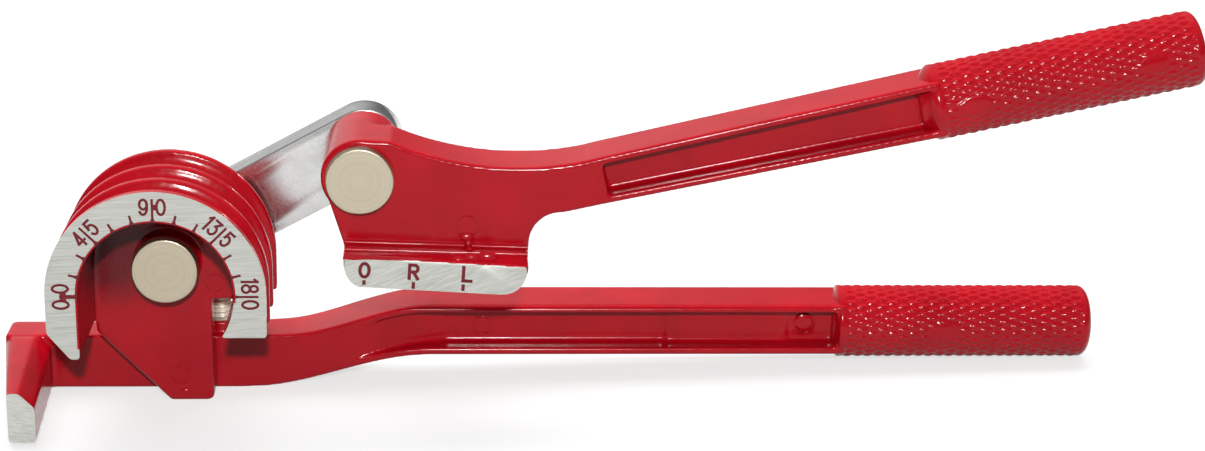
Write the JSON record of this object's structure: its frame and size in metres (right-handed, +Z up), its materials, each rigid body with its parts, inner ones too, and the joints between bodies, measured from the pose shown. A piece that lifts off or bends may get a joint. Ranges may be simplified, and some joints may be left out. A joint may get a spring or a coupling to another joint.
{
  "type": "tube bending pliers",
  "caption": "Hand lever tube bender: a grooved forming wheel with an angle dial and hook on one knurled handle, and a linked second handle whose grooved shoe wraps soft tube round the wheel.",
  "frame": {"origin": "on the plane of the foot, under the middle of the tool's bounding box", "axes": "+X along the handles towards the grips, +Y away from the dial's face, +Z up from the foot"},
  "size_m": [0.2722, 0.0484, 0.096],
  "materials": {
    "red_paint": "glossy red enamel on die castings",
    "nickel_plate": "satin nickel plate",
    "zinc_plate": "zinc plate",
    "link_steel": "satin plated steel"
  },
  "bodies": {
    "base": {"lower_handle": "red_paint", "forming_wheel": "red_paint", "clamp_screw": "zinc_plate", "wheel_pin": "nickel_plate", "wheel_pin_washer": "zinc_plate", "wheel_pin_ring": "zinc_plate"},
    "link": {"link_arm": "link_steel", "handle_pin": "nickel_plate", "handle_pin_washer": "zinc_plate", "handle_pin_ring": "zinc_plate"},
    "handle": {"upper_handle": "red_paint", "upper_arm": "red_paint"}
  },
  "joints": [
    {"name": "link_pivot", "type": "hinge", "parent": "base", "child": "link", "pos_m": [-0.09678, 0, 0.0344], "axis": [0, 1, 0], "range_deg": [-151.3, 28.7]},
    {"name": "handle_pivot", "type": "hinge", "parent": "link", "child": "handle", "pos_m": [-0.05239, 0, 0.0587], "axis": [0, 1, 0], "range_deg": [-100, 58]}
  ]
}
